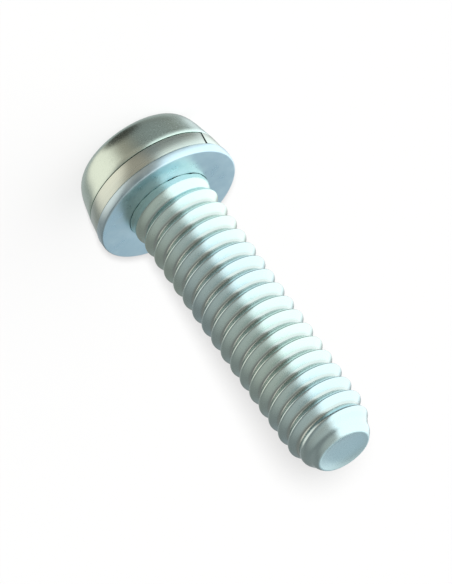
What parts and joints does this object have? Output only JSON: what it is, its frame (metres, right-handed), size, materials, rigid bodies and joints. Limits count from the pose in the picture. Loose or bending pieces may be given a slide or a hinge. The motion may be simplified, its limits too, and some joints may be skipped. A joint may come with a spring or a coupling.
{
  "type": "slotted cheese head screw",
  "caption": "Slotted low cheese head machine screw with a split spring lock washer and a plain washer held captive under its head.",
  "frame": {"origin": "centre of the head's flat top, on which the screw stands", "axes": "+Z along the screw's axis from the head's top to the point; +X along the driver slot"},
  "size_m": [0.0108, 0.0108, 0.0282],
  "materials": {
    "zinc_plated_steel": "bright zinc plate over cold headed and thread rolled steel",
    "zinc_plated_spring_steel": "bright zinc plate over coiled spring steel wire",
    "blue_zinc_plated_strip": "blue passivated zinc plate over stamped steel strip"
  },
  "bodies": {
    "screw": {"screw": "zinc_plated_steel"},
    "lock_washer": {"lock_washer": "zinc_plated_spring_steel"},
    "flat_washer": {"flat_washer": "blue_zinc_plated_strip"}
  },
  "joints": [
    {"name": "lock_washer_spin", "type": "hinge", "parent": "screw", "child": "lock_washer", "pos_m": [0, 0, 0.0035], "axis": [0, 0, 1], "continuous": true},
    {"name": "flat_washer_spin", "type": "hinge", "parent": "screw", "child": "flat_washer", "pos_m": [0, 0, 0.0045], "axis": [0, 0, 1], "continuous": true}
  ]
}
